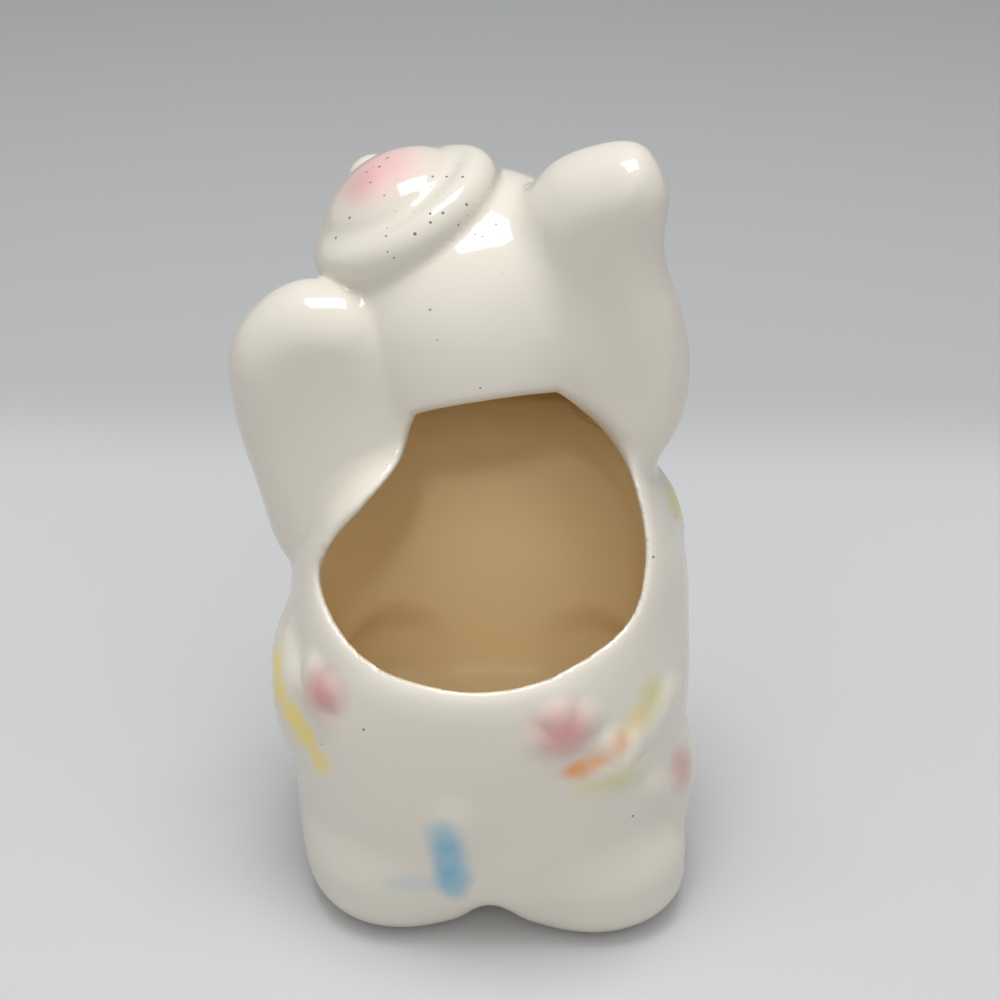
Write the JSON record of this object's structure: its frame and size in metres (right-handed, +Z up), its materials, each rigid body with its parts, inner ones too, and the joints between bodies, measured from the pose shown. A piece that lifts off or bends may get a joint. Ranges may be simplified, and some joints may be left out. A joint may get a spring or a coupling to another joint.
{
  "type": "animal shaped planter",
  "caption": "Glazed ceramic planter shaped as a standing baby elephant in a small hat, hollow and open at the back for a plant.",
  "frame": {"origin": "on the table, under the middle of the planter's box", "axes": "+Z up, the animal faces -Y, the planting mouth opens towards +Y, +X is the animal's left"},
  "size_m": [0.0998, 0.1214, 0.1625],
  "materials": {
    "white_glaze": "clear gloss glaze over white earthenware",
    "pink_hat_glaze": "clear gloss glaze over white earthenware",
    "blue_tail_glaze": "clear gloss glaze over white earthenware",
    "pink_petal_glaze": "clear gloss glaze over white earthenware",
    "yellow_petal_glaze": "clear gloss glaze over white earthenware",
    "amber_centre_glaze": "clear gloss glaze over white earthenware",
    "green_leaf_glaze": "clear gloss glaze over white earthenware"
  },
  "bodies": {
    "root": {"pot_body": "white_glaze", "head": "white_glaze", "left_ear": "white_glaze", "right_ear": "white_glaze", "trunk": "white_glaze", "lower_lip": "white_glaze", "left_hind_leg": "white_glaze", "right_hind_leg": "white_glaze", "left_front_leg": "white_glaze", "right_front_leg": "white_glaze", "hat_brim": "pink_hat_glaze", "hat_crown": "pink_hat_glaze", "tail": "blue_tail_glaze", "right_rear_blossom": "pink_petal_glaze", "right_front_blossom": "pink_petal_glaze", "left_rear_blossom": "pink_petal_glaze", "left_front_blossom": "pink_petal_glaze", "right_middle_blossom": "yellow_petal_glaze", "left_middle_blossom": "yellow_petal_glaze", "right_rear_blossom_centre": "amber_centre_glaze", "right_middle_blossom_centre": "amber_centre_glaze", "right_front_blossom_centre": "amber_centre_glaze", "left_rear_blossom_centre": "amber_centre_glaze", "left_middle_blossom_centre": "amber_centre_glaze", "left_front_blossom_centre": "amber_centre_glaze", "right_leaves": "green_leaf_glaze", "left_leaves": "green_leaf_glaze"}
  },
  "joints": []
}
